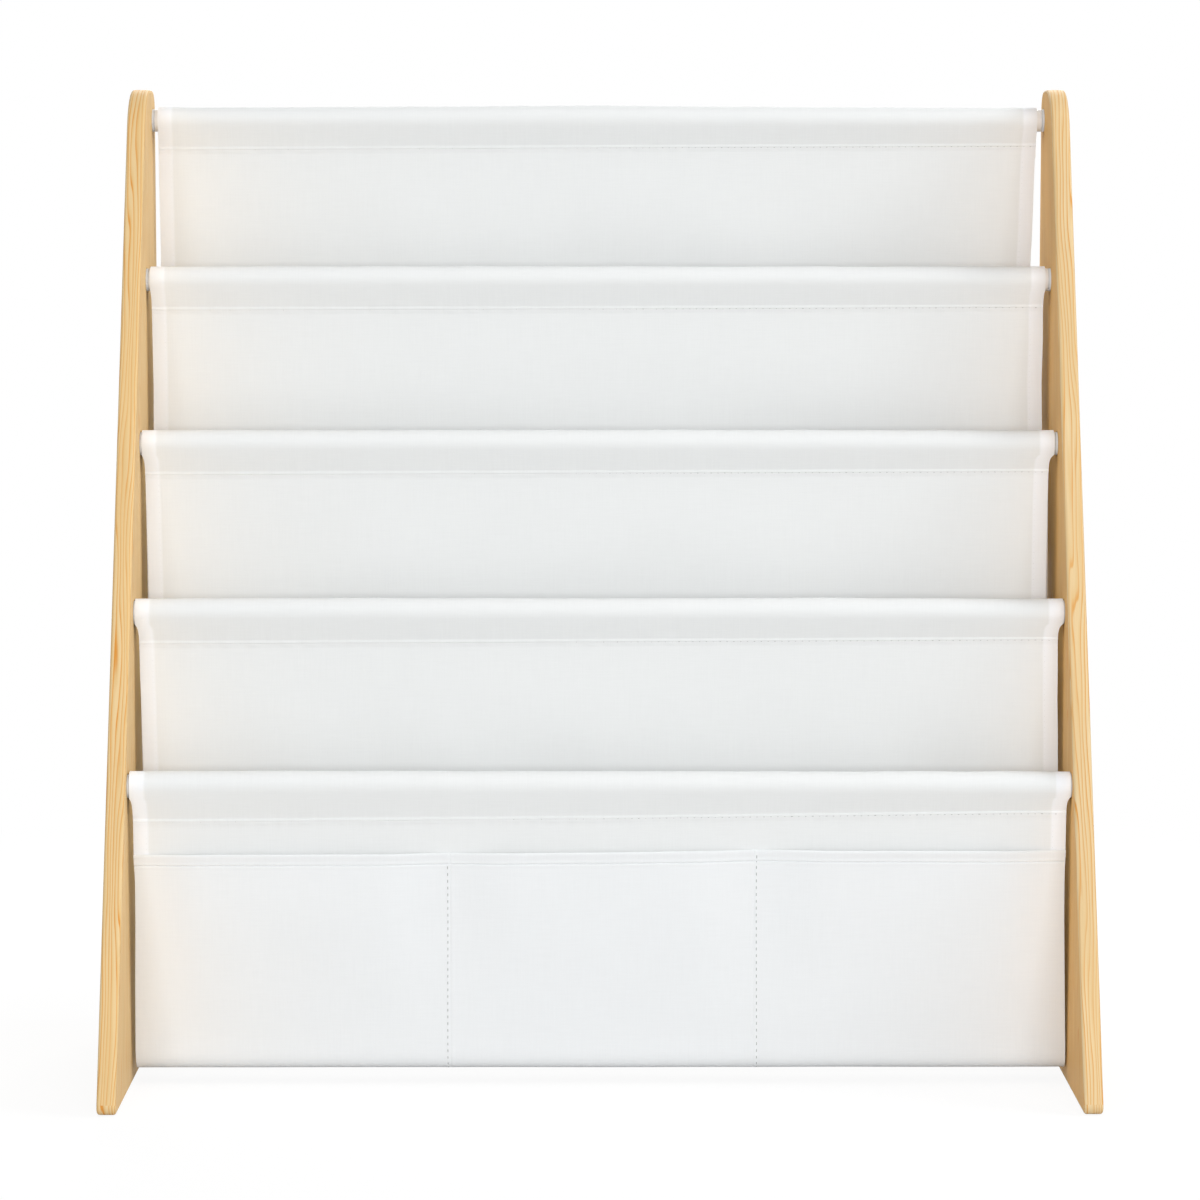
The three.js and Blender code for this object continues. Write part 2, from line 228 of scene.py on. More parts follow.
def make_mesh(name, points, faces, uv=None, share=None, sharp_angle=40.0, sharp_points=None):
    """A mesh object at the origin. faces is a list of index arrays, each with one number of
    corners. uv is one pair for each corner, in millimetres. share is one number for each point,
    which the material mixes by. An edge is sharp above sharp_angle, or where both its points are
    sharp_points."""
    def fill(items, key, values, kind=np.float32):
        items.foreach_set(key, np.ascontiguousarray(values, dtype=kind).reshape(-1))

    mesh = bpy.data.meshes.new(name)
    corners = np.concatenate([f.reshape(-1) for f in faces])
    sizes = np.concatenate([np.full(len(f), f.shape[1]) for f in faces])
    mesh.vertices.add(len(points))
    fill(mesh.vertices, "co", points)
    mesh.loops.add(len(corners))
    fill(mesh.loops, "vertex_index", corners, np.int32)
    mesh.polygons.add(len(sizes))
    fill(mesh.polygons, "loop_start", np.concatenate([[0], np.cumsum(sizes)[:-1]]), np.int32)
    fill(mesh.polygons, "loop_total", sizes, np.int32)
    fill(mesh.polygons, "use_smooth", np.ones(len(sizes)), bool)
    mesh.update(calc_edges=True)
    if uv is not None:
        fill(mesh.uv_layers.new(name="UVMap").data, "uv", uv)
    if share is not None:
        fill(mesh.attributes.new("share", "FLOAT", "POINT").data, "value", share)
    mesh.set_sharp_from_angle(angle=math.radians(sharp_angle))
    if sharp_points is not None:
        name_of, ends = "sharp_edge", np.empty(2 * len(mesh.edges), dtype=np.int32)
        mesh.edges.foreach_get("vertices", ends)
        sharp = mesh.attributes.get(name_of) or mesh.attributes.new(name_of, "BOOLEAN", "EDGE")
        marks = np.zeros(len(mesh.edges), dtype=bool)
        sharp.data.foreach_get("value", marks)
        fill(sharp.data, "value", marks | sharp_points[ends.reshape(-1, 2)].all(axis=1), bool)
    if mesh.validate():
        raise RuntimeError(f"{name}: the mesh had faulty faces")
    piece = bpy.data.objects.new(name, mesh)
    bpy.context.scene.collection.objects.link(piece)
    return piece


def dress(piece, make, settings, slot, *nodes):
    """Puts a material on a piece, lets it ride on the body and hides the CAD nodes it stands
    for.
    """
    piece.data.materials.append(material_of(make, settings))
    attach(piece, BODY)
    if nodes:
        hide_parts(*nodes)


def rings(profile, around, centre):
    """Rings about a line along X, one for each pair in profile: its place x, and its radius r, one
    number or one for each angle a. y = cy + r cos a, z = cz + r sin a."""
    x = np.array([place for place, _ in profile])[:, None]
    radii = np.array([np.broadcast_to(radius, around) for _, radius in profile])
    angle = 2 * math.pi * np.arange(around) / around
    return np.stack([np.broadcast_to(x, radii.shape), centre[0] + radii * np.cos(angle),
                     centre[1] + radii * np.sin(angle)], axis=-1).reshape(-1, 3)


def turned(name, profile, around, centre, side="right", closed=True):
    """A turned piece of rings along X. closed joins the last ring to the first, and an open one has
    its ends filled. The left side is the mirror image of the right."""
    points = rings(profile, around, centre)
    faces = [grid_quads(len(profile), around, wrap=True, closed=closed)]
    if not closed:
        ends = np.arange(len(points)).reshape(-1, around)
        faces += [ends[:1, ::-1], ends[-1:]]
    if side == "left":
        points = points * (-1, 1, 1)
        faces = [f[:, ::-1] for f in faces]
    return make_mesh(name, points, faces, sharp_angle=35)


# ---- Materials ----

def add_node(tree, kind, inputs=(), output=None, stops=(), **settings):
    """Adds a node with its settings, and returns its output of that name, or else its first one.
    inputs are values and outputs of other nodes, by name or in the order of the sockets in use.
    stops are the places and colours of a colour ramp."""
    node = tree.nodes.new("ShaderNode" + kind)
    for key, value in settings.items():
        setattr(node, key, value)
    for _ in stops[2:]:
        node.color_ramp.elements.new(0.5)
    for number, (place, value) in enumerate(stops):
        element = node.color_ramp.elements[number]
        element.position, element.color = place, (*value, 1.0)
    if isinstance(inputs, dict):
        pairs = [(node.inputs[key], value) for key, value in inputs.items()]
    else:
        pairs = zip([socket for socket in node.inputs if socket.enabled], inputs)
    for socket, value in pairs:
        if isinstance(value, bpy.types.NodeSocket):
            tree.links.new(value, socket)
        else:
            socket.default_value = (*value, 1.0) if socket.type == "RGBA" else value
    if output:
        return node.outputs[output]
    return next((socket for socket in node.outputs if socket.enabled), None)


def fill_tree(owner, make, settings, output="OutputMaterial"):
    """Gives a material or a world the nodes that a function below makes. The function gets
    add_node, bound to the tree, as node."""
    owner.use_nodes = True
    owner.node_tree.nodes.clear()
    node = partial(add_node, owner.node_tree)
    node(output, [make(node, settings)])
    return owner


def material_of(make, settings):
    """The material that a function below describes, made the first time it is asked for."""
    name = make.__name__
    return bpy.data.materials.get(name) or fill_tree(bpy.data.materials.new(name), make, settings)


def streaks(node, place, scale, detail=1.0, roughness=0.5):
    """Noise over the map. scale is its frequency across and along, in turns of a millimetre."""
    moved = node("Mapping", {"Vector": place, "Scale": (*scale, 1)})
    return node("TexNoise", (moved, 1.0, detail, roughness))


def shaded(node, base, pattern, low, high):
    """A colour made darker and paler by a pattern from 0 to 1: low to high times the colour."""
    shade = node("MapRange", (pattern, 0.0, 1.0, low, high))
    return node("VectorMath", (base, shade), operation="SCALE")


def pine_clear_lacquer(node, wood):
    """Edge-glued pine, planed, sanded and sprayed with clear satin lacquer. The eye gets honey-pale
    wood with thin orange lines that wander and merge along the grain, fine fibres, and a soft
    shine."""
    place = node("UVMap", uv_map="UVMap")
    # The map is in millimetres: across the grain, and along it
    across = node("SeparateXYZ", [place])
    bent = node("Math", (across, MM / wood.ring_width), operation="MULTIPLY")
    wander = streaks(node, place, (0.035, 0.0045), 2.0, 0.45)
    uneven = streaks(node, place, (0.19, 0.011))
    for pattern, strength in ((wander, 8.0), (uneven, 2.2)):
        bent = node("Math", (pattern, strength, bent), operation="MULTIPLY_ADD")
    phase = node("Math", [bent], operation="FRACT")
    # Spring wood darkens slowly and the summer line ends sharply
    tone = node("ValToRGB", [phase], stops=[
        (0.0, wood.light), (0.4, wood.light), (0.72, wood.middle), (0.87, wood.dark),
        (0.93, wood.dark), (1.0, wood.light)])
    # Some lines are faint: patches 8 mm wide and 120 mm long
    patches = streaks(node, place, (0.12, 0.008))
    faint = node("MapRange", (patches, 0.35, 0.65, 0.05, 0.6))
    faded = node("Mix", (faint, tone, wood.middle), data_type="RGBA")
    # Fibres 0.5 mm wide and about 40 mm long, and broad paler and darker places
    fibre = streaks(node, place, (2.0, 0.025), 3.0, 0.6)
    fine = node("MapRange", (fibre, 0.3, 0.7, 0.955, 1.035))
    broad = node("MapRange", (streaks(node, place, (0.05, 0.006)), 0.3, 0.7, 0.97, 1.03))
    shade = node("Math", (fine, broad), operation="MULTIPLY")
    base = node("VectorMath", (faded, shade), operation="SCALE")
    # The right board is cut from another tree, paler on its narrow sides. Its broad sides get a
    # deeper orange tint, which is painted shade for its inner face. On the map its narrow sides lie
    # below 550 mm.
    narrow = node("MapRange", (across, 545, 555, 1.0, 0.0))
    board_tint_and_shade = node("Mix", (narrow, wood.right_face_painted_shade, wood.right_edge), data_type="RGBA")
    board = node("Attribute", output="Fac", attribute_name="share")
    board_tint_and_shade = node("Mix", (board, (1, 1, 1), board_tint_and_shade), data_type="RGBA")
    base = node("VectorMath", (base, board_tint_and_shade), operation="MULTIPLY")
    relief = node("Bump", {"Height": fibre, "Strength": 0.1, "Distance": 0.0002})
    satin = node("MapRange", (fibre, 0.0, 1.0, 0.5, 0.62))
    return node("BsdfPrincipled", {"Base Color": base, "Roughness": satin, "IOR": 1.5,
                                   "Normal": relief, "Specular IOR Level": 0.12})


def woven_polyester_canvas(node, cloth):
    """Plain-woven white polyester canvas, calendered flat. The eye gets a matt even white with
    faint slubs of its yarns along and across, and hems and pockets that look whiter and cooler:
    partly because they are doubled, and partly by painted light against the shade and the warm
    bounce of the boards at the cloth's side ends."""
    place = node("UVMap", uv_map="UVMap")
    # Yarns are 0.4 mm apart. They are drawn 0.9 mm apart, because finer ones can't show.
    weft = streaks(node, place, (0.055, 1.1), 2.0, 0.6)
    warp = streaks(node, place, (1.1, 0.04), 2.0, 0.6)
    yarns = node("Math", (weft, warp), operation="ADD")
    slub = node("MapRange", (yarns, 0.7, 1.3, 0.985, 1.012))
    # The hems and the pockets mix in the doubled colour, and part of its extra lightness is painted
    # light
    layers = node("Attribute", output="Fac", attribute_name="share")
    base = node("Mix", (layers, cloth.canvas, cloth.canvas_double_painted_light), data_type="RGBA")
    base = node("VectorMath", (base, slub), operation="SCALE")
    relief = node("Bump", {"Height": yarns, "Strength": 0.2, "Distance": 0.00012})
    return node("BsdfPrincipled", {
        "Base Color": base, "Roughness": 0.85, "IOR": 1.5, "Specular IOR Level": 0.25,
        "Sheen Weight": 0.06, "Sheen Roughness": 0.5, "Normal": relief})


def sewing_thread_polyester(node, cloth):
    """Twisted white polyester thread. The eye gets short matt dashes, slightly greyer than the
    cloth by painted shade for the hollow each thread lies in, with the twist as a faint slant."""
    place = node("TexCoord", output="Object")
    # The twist repeats every 0.5 mm
    twist = node("TexWave", {"Vector": place, "Scale": 320.0, "Distortion": 1.0, "Detail": 1.0},
                 output="Fac", bands_direction="DIAGONAL")
    base = shaded(node, cloth.thread, twist, 0.93, 1.04)
    return node("BsdfPrincipled", {"Base Color": base, "Roughness": 0.7, "IOR": 1.5})


def powder_coated_steel(node, metal):
    """Steel tube with a white polyester powder coat. The eye gets a clean satin white with a very
    slight orange peel."""
    place = node("TexCoord", output="Object")
    # Orange peel about 1.5 mm across
    peel = node("TexNoise", (place, 650.0, 1.0))
    relief = node("Bump", {"Height": peel, "Strength": 0.15, "Distance": 0.00005})
    base = shaded(node, metal.enamel, peel, 0.985, 1.01)
    return node("BsdfPrincipled", {"Base Color": base, "Roughness": 0.36, "IOR": 1.5,
                                   "Normal": relief})


def moulded_polyethylene(node, metal):
    """Injection-moulded white polyethylene. The eye gets a soft waxy white, slightly cool, with
    faint flow marks."""
    place = node("TexCoord", output="Object")
    # Flow marks about 4 mm across
    flow = node("TexNoise", (place, 250.0, 2.0))
    dull = node("MapRange", (flow, 0.0, 1.0, 0.38, 0.5))
    base = shaded(node, metal.plastic, flow, 0.97, 1.02)
    return node("BsdfPrincipled", {"Base Color": base, "Roughness": dull, "IOR": 1.51})


def zinc_plated_steel(node, metal):
    """Bright zinc-plated steel, as on furniture bolts. The eye gets a cool grey metal with soft
    patches from handling."""
    place = node("TexCoord", output="Object")
    # Patches about 2 mm across
    patch = node("TexNoise", (place, 500.0, 3.0))
    dull = node("MapRange", (patch, 0.0, 1.0, 0.24, 0.4))
    base = shaded(node, metal.zinc, patch, 0.9, 1.05)
    return node("BsdfPrincipled", {"Base Color": base, "Metallic": 1.0, "Roughness": dull})


def seen_ray(node):
    """1 for a ray that the camera sees by: straight, off gloss or through glass."""
    path = node("LightPath").node.outputs
    seen = path["Is Camera Ray"]
    for kind in ("Is Glossy Ray", "Is Transmission Ray"):
        seen = node("Math", (seen, path[kind]), operation="MAXIMUM")
    return seen


def matt_studio_floor(node, stage):
    """Matt white studio sweep. The camera and reflections see plain white with the object's soft
    shadow, and the object is lit by an ordinary white floor."""
    matt = node("BsdfDiffuse", {"Color": stage.floor})
    away = node("VectorMath", [node("TexCoord", output="Object")], operation="LENGTH")
    # Near the object the floor keeps a fifth of its own shading, and none from 1.1 m on. The
    # glow makes up for it, so that the floor is plain white outside the shadow.
    least = 0.78
    glow = node("MapRange", (away, 0.45, 1.1, least, 1.0), interpolation_type="SMOOTHSTEP")
    strength = node("MapRange", (glow, least, 1.0, 1.15, 1.0))
    white = node("Emission", ((1, 1, 1), strength))
    share = node("Math", (seen_ray(node), glow), operation="MULTIPLY")
    return node("MixShader", (share, matt, white))


def white_room(node, stage):
    """The world: plain white to the camera and in reflections, and a softer light on the object."""
    strength = node("Mix", (seen_ray(node), stage.sky, 1.0))
    return node("Background", ((1, 1, 1), strength))


# ---- Side panels ----

def centre_of(node):
    """Depth and height of the middle of a CAD node."""
    low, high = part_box(node)
    return (low[1] + high[1]) / 2, (low[2] + high[2]) / 2


def fittings(kind):
    """Every rod fitting of a kind: its rod, its side and its CAD node, and how near to the middle
    of the bookshelf and how far from it that node comes."""
    for name in TUBE_NAMES:
        for side in SIDES:
            node = f"{name}_{kind}_{side}"
            yield name, side, node, *sorted(abs(corner[0]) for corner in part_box(node))


def panel_outline(wood, steps=20):
    """Outline of a side panel seen from the side, with its outward directions. Each corner is an
    arc tangent to both edges. The slanted edge runs from the rounded foot to the top's front
    corner."""
    low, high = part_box("side_panel_right")
    front, back, top = low[1], high[1], high[2]
    foot = wood.foot_radius
    run, rise = back - front - wood.top_depth - foot, top - foot
    lean = math.atan2(run, rise) + math.asin(foot / math.hypot(run, rise))
    corner_angle = math.pi / 2 - lean
    foot_corner = front - foot * (1 / math.tan(corner_angle / 2) - 1)
    corners = np.array([[foot_corner, 0], [back, 0], [back, top], [back - wood.top_depth, top]])
    radii = [foot, foot, wood.top_back_radius, wood.top_front_radius]
    points, outward = [], []
    for i, radius in enumerate(radii):
        before, after = unit(corners[i - 1] - corners[i]), unit(corners[(i + 1) % 4] - corners[i])
        half = math.acos(before @ after) / 2
        centre = corners[i] + unit(before + after) * radius / math.sin(half)
        start = corners[i] + before * radius / math.tan(half) - centre
        angle = math.atan2(start[1], start[0]) + np.linspace(0, math.pi - 2 * half, steps + 1)
        direction = np.stack([np.cos(angle), np.sin(angle)], axis=1)
        points.append(centre + radius * direction)
        outward.append(direction)
    return np.concatenate(points), np.concatenate(outward), lean


# Radii of the rod's socket, the bolt's hole and the wide end of its countersink, the depths of the
# socket and of the countersink, and the broken edges of both
SOCKET, BOLT_HOLE, COUNTERSINK = 0.0080, 0.0033, 0.0063
SOCKET_DEPTH, COUNTERSINK_DEPTH, SOFT = 0.003, 0.0033, 0.0003
# Places on the map, in millimetres: the rounded edges, and how far the left board is from the right
EDGE_MAP, LEFT_MAP = (300, 0), (170, 900)


def side_panel(wood, side):
    """A side panel: its rounded edge is a band carried round the outline, a quarter circle, a flat
    and a quarter circle across; its faces are flat with six holes; each hole is turned about X."""
    outline, outward, lean = panel_outline(wood)
    low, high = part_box("side_panel_right")
    inner, outer = low[0], high[0]
    quarter = np.linspace(0, math.pi / 2, 9)
    inset = wood.edge_round * (1 - np.sin(np.concatenate([quarter, quarter[::-1]])))
    curve = wood.edge_round * (1 - np.cos(quarter))
    depth = np.concatenate([inner + curve, outer - curve[::-1]])
    rows, around = len(inset), len(outline)
    ring = outline[None] - inset[:, None, None] * outward[None]
    band = np.concatenate([np.repeat(depth[:, None, None], around, axis=1), ring], axis=2)
    points = [band.reshape(-1, 3)]
    quads = [grid_quads(rows, around, wrap=True)[:, ::-1]]
    # Where each corner of the band lies on the map: across the thickness, and along the outline
    travel = distances(np.stack([inset, depth], axis=1))
    along = distances(np.concatenate([outline, outline[:1]]))
    row, column = np.divmod(grid_quads(rows, around + 1), around + 1)
    uv = [np.stack([travel[row], along[column]], axis=-1)[:, ::-1] / MM + EDGE_MAP]
    loops_inner, loops_outer = [np.arange(around)], [(rows - 1) * around + np.arange(around)]
    count, segments = rows * around, 48
    profile = [(inner, SOCKET + SOFT), (inner + SOFT, SOCKET), (inner + SOCKET_DEPTH, SOCKET),
               (inner + SOCKET_DEPTH, BOLT_HOLE), (outer - COUNTERSINK_DEPTH, BOLT_HOLE),
               (outer - SOFT, COUNTERSINK), (outer, COUNTERSINK)]
    faces = grid_quads(len(profile), segments, wrap=True)
    for name in TUBE_NAMES:
        hollow = rings(profile, segments, centre_of(name))
        points.append(hollow)
        quads.append(count + faces)
        uv.append(hollow[faces][..., 1:] / MM)
        numbers = count + np.arange(len(hollow)).reshape(-1, segments)
        loops_inner.append(numbers[0])
        loops_outer.append(numbers[-1])
        count += len(hollow)
    points = np.concatenate(points)
    triangles = []
    for loops, facing in ((loops_inner, -1), (loops_outer, 1)):
        found = tessellate_polygon([[(0, *points[i, 1:]) for i in loop] for loop in loops])
        found = np.concatenate(loops)[np.array(found)]
        a, b, c = np.moveaxis(points[found], 1, 0)
        wrong = np.cross(b - a, c - a)[:, 0] * facing < 0
        found[wrong] = found[wrong][:, ::-1]
        triangles.append(found)
    triangles = np.concatenate(triangles)
    sharp = np.zeros(len(points), dtype=bool)
    sharp[np.concatenate(loops_inner + loops_outer)] = True
    # On the faces the grain stands upright and leans a little with the front edge
    flat = points[triangles]
    across = flat[..., 1] - flat[..., 2] * math.tan(0.22 * lean) + 3 * flat[..., 0]
    faces = [np.concatenate(quads), triangles]
    uv = [np.concatenate(uv), np.stack([across, flat[..., 2]], axis=-1) / MM]
    if side == "left":
        points = points * (-1, 1, 1)
        faces = [part[:, ::-1] for part in faces]
        uv = [part[:, ::-1] + LEFT_MAP for part in uv]
    return make_mesh(f"pine_side_{side}", points, faces, sharp_angle=35, sharp_points=sharp,
                     uv=np.concatenate([part.reshape(-1, 2) for part in uv]),
                     share=np.full(len(points), float(side == "right")))


class BOOKSHELF_OT_side_panels(bpy.types.Operator):
    """Two pine side panels with rounded edges, sockets for the rods and countersunk bolt holes"""
    bl_idname = "bookshelf.side_panels"
    bl_label = "Side panels"

    def execute(self, context):
        wood = context.scene.bookshelf_wood
        for side in SIDES:
            dress(side_panel(wood, side), pine_clear_lacquer, wood, "pine", f"side_panel_{side}")
        return {"FINISHED"}


# ---- Rods and their fastenings ----

class BOOKSHELF_OT_rods(bpy.types.Operator):
    """Five sling rods and the rear stretcher, powder-coated steel tubes with broken edges"""
    bl_idname = "bookshelf.rods"
    bl_label = "Rods"

    def execute(self, context):
        metal = context.scene.bookshelf_metal
        outer, bore, soft = metal.tube_radius, metal.tube_radius - metal.tube_wall, 0.00015
        for name in TUBE_NAMES:
            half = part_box(name)[1][0]
            profile = [(-half, bore), (half, bore), (half, outer - soft), (half - soft, outer),
                       (-half + soft, outer), (-half, outer - soft)]
            piece = turned(f"tube_{name}", profile, metal.segments, centre_of(name))
            dress(piece, powder_coated_steel, metal, "white_enamel", name)
        return {"FINISHED"}


class BOOKSHELF_OT_end_plugs(bpy.types.Operator):
    """End plugs: a rounded flange that shows as a ring at the panel, and a shank in the tube"""
    bl_idname = "bookshelf.end_plugs"
    bl_label = "End plugs"

    def execute(self, context):
        metal = context.scene.bookshelf_metal
        outer, shank = metal.tube_radius, metal.tube_radius - metal.tube_wall - 0.0003
        flange, insert_depth, insert_hole, soft = 0.004, 0.0133, 0.0048, 0.0004
        for name, side, node, inside, outside in fittings("plug"):
            shoulder, seat = outside - flange, inside + insert_depth
            profile = [(outside, outer - soft), (outside - soft, outer), (shoulder + soft, outer),
                       (shoulder, outer - soft), (shoulder, shank), (inside, shank),
                       (inside, insert_hole), (seat, insert_hole), (seat, BOLT_HOLE),
                       (outside, BOLT_HOLE)]
            piece = turned(f"plug_{name}_{side}", profile, metal.segments, centre_of(name), side)
            dress(piece, moulded_polyethylene, metal, "white_plastic", node)
        return {"FINISHED"}


class BOOKSHELF_OT_bolts(bpy.types.Operator):
    """Countersunk bolts with hexagon sockets, and the threaded inserts that they go into"""
    bl_idname = "bookshelf.bolts"
    bl_label = "Bolts and inserts"

    def execute(self, context):
        metal = context.scene.bookshelf_metal
        around, shank, head, key = 48, 0.003, 0.0059, 0.002
        angle = 2 * math.pi * np.arange(around) / around
        # A hexagon's radius at an angle is its half width over the cosine of the angle from a flat
        hexagon = key / np.cos((angle + math.pi / 6) % (math.pi / 3) - math.pi / 6)
        for name, side, node, tip, top in fittings("bolt"):
            profile = [(top - 0.0022, hexagon), (top - 0.0002, hexagon), (top, 0.0026),
                       (top, head - 0.0002), (top - 0.0003, head), (top - 0.003, shank),
                       (tip + 0.0006, shank), (tip, 0.0024)]
            piece = turned(f"bolt_{name}_{side}", profile, around, centre_of(name), side, False)
            dress(piece, zinc_plated_steel, metal, "zinc_steel", node)
            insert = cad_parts[f"{name}_insert_{side}"]
            insert.data.materials.clear()
            insert.data.materials.append(material_of(zinc_plated_steel, metal))
        return {"FINISHED"}


# ---- Cloth ----

# Left and right half of each sleeve's width on its rod, in millimetres
SLEEVE_WIDTHS = [(294.2, 293.2), (295.3, 294.3), (296.8, 295.8), (297.2, 297.2), (296.6, 297.3)]
# Below each rod: distances under the seam, and the left and the right half width there
WALL_WIDTHS = [
    ((0, 15, 36, 63, 74, 140), (294.4, 294.4, 294.0, 293.6, 293.6, 293.5),
     (293.0, 292.3, 291.7, 290.9, 290.2, 290.0)),
    ((0, 24, 51, 78, 140), (294.8, 294.6, 294.2, 294.4, 294.4),
     (293.5, 293.6, 293.1, 293.6, 293.6)),
    ((0, 24, 51, 80, 140), (295.2, 294.6, 294.1, 293.6, 293.4),
     (292.7, 292.1, 291.9, 291.7, 291.7)),
    ((0, 24, 37, 63, 83, 140), (295.0, 294.6, 294.0, 293.5, 292.9, 292.7),
     (294.3, 294.5, 294.4, 294.9, 295.1, 295.1)),
    ((0, 24, 37, 63, 104, 160), (294.9, 294.8, 294.1, 294.2, 294.9, 295.5),
     (295.2, 295.1, 294.6, 294.7, 295.6, 297.0)),
]
# Seam of each sleeve below the top of its rod, at the left, in the middle and at the right
SEAM_DROPS = [(26.8, 25.4, 24.3), (27.1, 26.4, 25.4), (27.4, 26.4, 25.5), (27.4, 26.2, 25.0),
              (29.2, 27.2, 24.1)]
# How far the cloth stands off the top of each rod, along the width
ROD_SLACK = [((-290, 0.5), (-220, 0.3), (-130, 0.8), (-40, 1.4), (0, 1.5), (40, 1.3), (90, 0.8),
              (180, 0.4), (230, 0.0)),
             ((-290, 0.3), (-180, 0.6), (0, 0.4), (290, 0.3)), ((-290, 0.4), (0, 0.5), (290, 0.2)),
             ((-290, 0.5), (-130, 0.8), (0, 0.4), (140, 0.8), (290, 0.0)),
             ((-290, 1.1), (-180, 1.2), (0, 0.8), (290, 0.5))]
# Hemmed edge of the pockets, lower (positive) than the usual height, along the width
POCKET_EDGE = [(-290, 1.8), (-240, 1.2), (-136, 0.9), (-32, 0.2), (73, -1.0), (127, -1.5),
               (177, -1.2), (247, -0.9)]
POCKET_SEAMS = (-94.8, 97.7)
POCKET_NODES = ("front_pocket_left", "front_pocket_middle", "front_pocket_right")
# The columns are laid out on this half width, and stretched to the cloth's own
EDGE_X = 290.0
# Rows on each leg of a sling's line
LEG_ROWS = {"tail": 5, "behind": 8, "over": 26, "front": 20, "seam": 16, "wall": 42, "bend": 22,
            "rise": 24, "front seam": 15, "front up": 20, "over back": 26, "behind down": 10,
            "end": 6}
# Reach of a seam along the wall, the cloth that ends behind a rod, and that behind the first rod
SEAM_REACH, TAIL, FIRST_TAIL = 4.0, 4.0, 8.0
# The squarer bend is this much less deep than its half width, so that it ends at the same height
FLATTER = 1.7
# A sleeve keeps its extra width this far past its rod, and loses it over FADE from there
SLEEVE_END, FADE = 4.1, 2.2
# Height of the step at a seam and of the puckers beside it
SEAM_STEP, PUCKER = 0.85, 0.13
# The side hems' stitches from the edge, and the cut widths of a sling and of the pockets in metres,
# with what the hemmed edge takes of the pockets' length
HEM_LINE, SLING_WIDTH, POCKET_WIDTH, POCKET_TURN = 8.2, 0.609, 0.600, 0.012
# The pockets' cloth from the sling's, its share of the doubled colour with its painted light, and
# its own place on the map
POCKET_LAYER, POCKET_SHARE, POCKET_MAP = 1.05, 0.35, (700, 2500)
# How tight the threads lie at the left and at the right, and the share of a pitch that they show
SEAM_SEWING, HEM_SEWING = ((1.5, 1.0), 0.72), ((1.4, 1.4), 0.8)
POCKET_HEM_SEWING, POCKET_SEAM_SEWING = ((1.4, 1.4), 0.88), ((0.0, 0.0), 0.6)


def seam_drop(x, rod):
    """Seam of a rod's sleeve below the top of the rod, at x, in millimetres."""
    return np.interp(x, (-260, 0, 260), SEAM_DROPS[rod])


